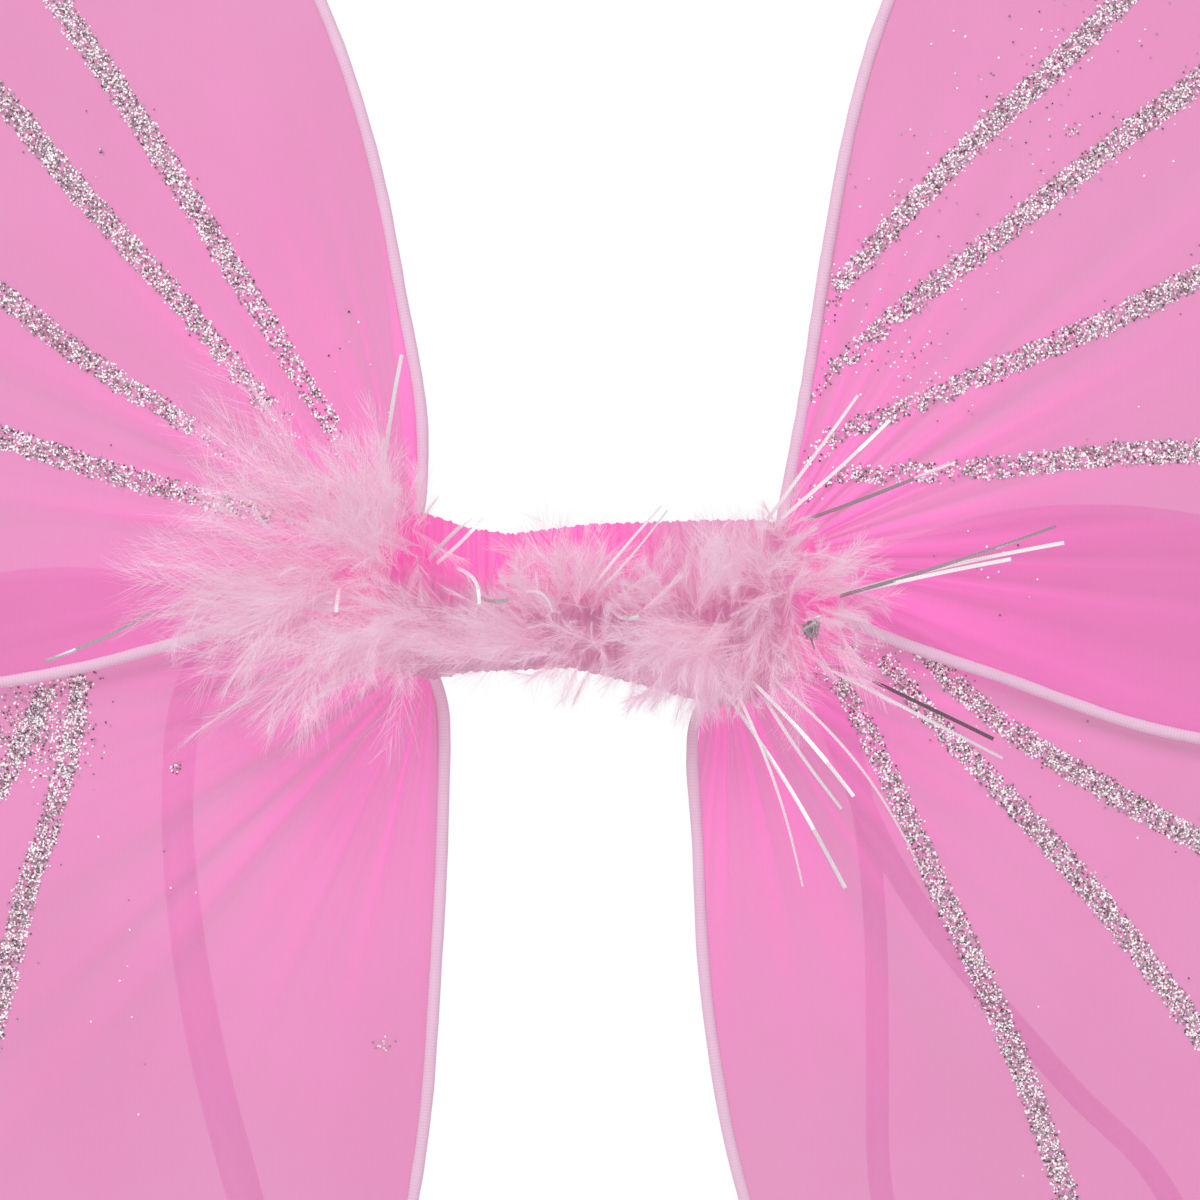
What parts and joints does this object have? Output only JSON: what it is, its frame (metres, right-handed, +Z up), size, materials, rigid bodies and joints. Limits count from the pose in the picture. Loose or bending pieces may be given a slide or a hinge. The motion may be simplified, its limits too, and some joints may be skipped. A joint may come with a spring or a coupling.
{
  "type": "fairy wings",
  "caption": "Costume fairy wings: wire-framed sheer nylon wings with glitter veins, a marabou and tinsel centre, a felt back pad and elastic arm straps.",
  "frame": {"origin": "middle of the back pad's flat face, which lies on the wearer's back", "axes": "+Y out of the back pad towards the wearer, -Y towards the marabou, +Z up as worn, +X along the span"},
  "size_m": [0.649, 0.0841, 0.4838],
  "materials": {
    "sheer_nylon": "sheer knitted nylon, stretched, slightly glossy, pink",
    "hemmed_wire": "steel wire covered by an overlocked hem in pale pink thread",
    "bare_wire": "drawn steel wire, satin",
    "binding_tape": "pink cloth tape, wound, matt",
    "felt": "pink pressed felt, fuzzy and matt",
    "elastic": "flat braided elastic, pale pink, ribbed and matt",
    "glitter": "silver polyester glitter set in clear glue, sparkling",
    "marabou": "pale pink marabou down, very soft and matt",
    "gathered_nylon": "pink nylon gathered into folds, denser and glossier than one layer",
    "tinsel": "silver film tinsel, mirror bright on one side"
  },
  "bodies": {
    "centre": {"back_pad": "felt", "spine_wire_1": "bare_wire", "spine_wire_2": "bare_wire", "spine_wire_3": "bare_wire", "spine_wire_4": "bare_wire", "centre_binding": "binding_tape", "gathered_nylon": "gathered_nylon", "marabou_middle": "marabou", "tinsel_middle": "tinsel"},
    "left_root": {"left_root_binding": "binding_tape", "left_strap_anchor": "binding_tape", "left_arm_strap": "elastic", "left_marabou": "marabou", "left_tinsel": "tinsel"},
    "right_root": {"right_root_binding": "binding_tape", "right_strap_anchor": "binding_tape", "right_arm_strap": "elastic", "right_marabou": "marabou", "right_tinsel": "tinsel"},
    "left_upper_wing": {"left_upper_wing_wire": "hemmed_wire", "left_upper_wing_tie": "binding_tape", "left_upper_wing_nylon": "sheer_nylon", "left_upper_glitter_vein_1": "glitter", "left_upper_glitter_vein_2": "glitter", "left_upper_glitter_vein_3": "glitter", "left_upper_glitter_vein_4": "glitter"},
    "right_upper_wing": {"right_upper_wing_wire": "hemmed_wire", "right_upper_wing_tie": "binding_tape", "right_upper_wing_nylon": "sheer_nylon", "right_upper_glitter_vein_1": "glitter", "right_upper_glitter_vein_2": "glitter", "right_upper_glitter_vein_3": "glitter", "right_upper_glitter_vein_4": "glitter"},
    "left_lower_wing": {"left_lower_wing_wire": "hemmed_wire", "left_lower_wing_tie": "binding_tape", "left_lower_wing_nylon": "sheer_nylon", "left_lower_glitter_vein_1": "glitter", "left_lower_glitter_vein_2": "glitter"},
    "right_lower_wing": {"right_lower_wing_wire": "hemmed_wire", "right_lower_wing_tie": "binding_tape", "right_lower_wing_nylon": "sheer_nylon", "right_lower_glitter_vein_1": "glitter", "right_lower_glitter_vein_2": "glitter", "right_lower_glitter_vein_3": "glitter"}
  },
  "joints": [
    {"name": "left_fold", "type": "hinge", "parent": "centre", "child": "left_root", "pos_m": [-0.029, -0.007, 0], "axis": [0, 0, -1], "range_deg": [-30, 85]},
    {"name": "right_fold", "type": "hinge", "parent": "centre", "child": "right_root", "pos_m": [0.029, -0.007, 0], "axis": [0, 0, 1], "range_deg": [-30, 85]},
    {"name": "left_upper_splay", "type": "hinge", "parent": "left_root", "child": "left_upper_wing", "pos_m": [-0.04, -0.0165, 0.008], "axis": [0, 1, 0], "range_deg": [-8, 8]},
    {"name": "right_upper_splay", "type": "hinge", "parent": "right_root", "child": "right_upper_wing", "pos_m": [0.042, -0.0165, 0.008], "axis": [0, -1, 0], "range_deg": [-8, 8]},
    {"name": "left_lower_splay", "type": "hinge", "parent": "left_root", "child": "left_lower_wing", "pos_m": [-0.036, -0.012, -0.009], "axis": [0, 1, 0], "range_deg": [-8, 8]},
    {"name": "right_lower_splay", "type": "hinge", "parent": "right_root", "child": "right_lower_wing", "pos_m": [0.03, -0.012, -0.009], "axis": [0, -1, 0], "range_deg": [-8, 8]}
  ]
}
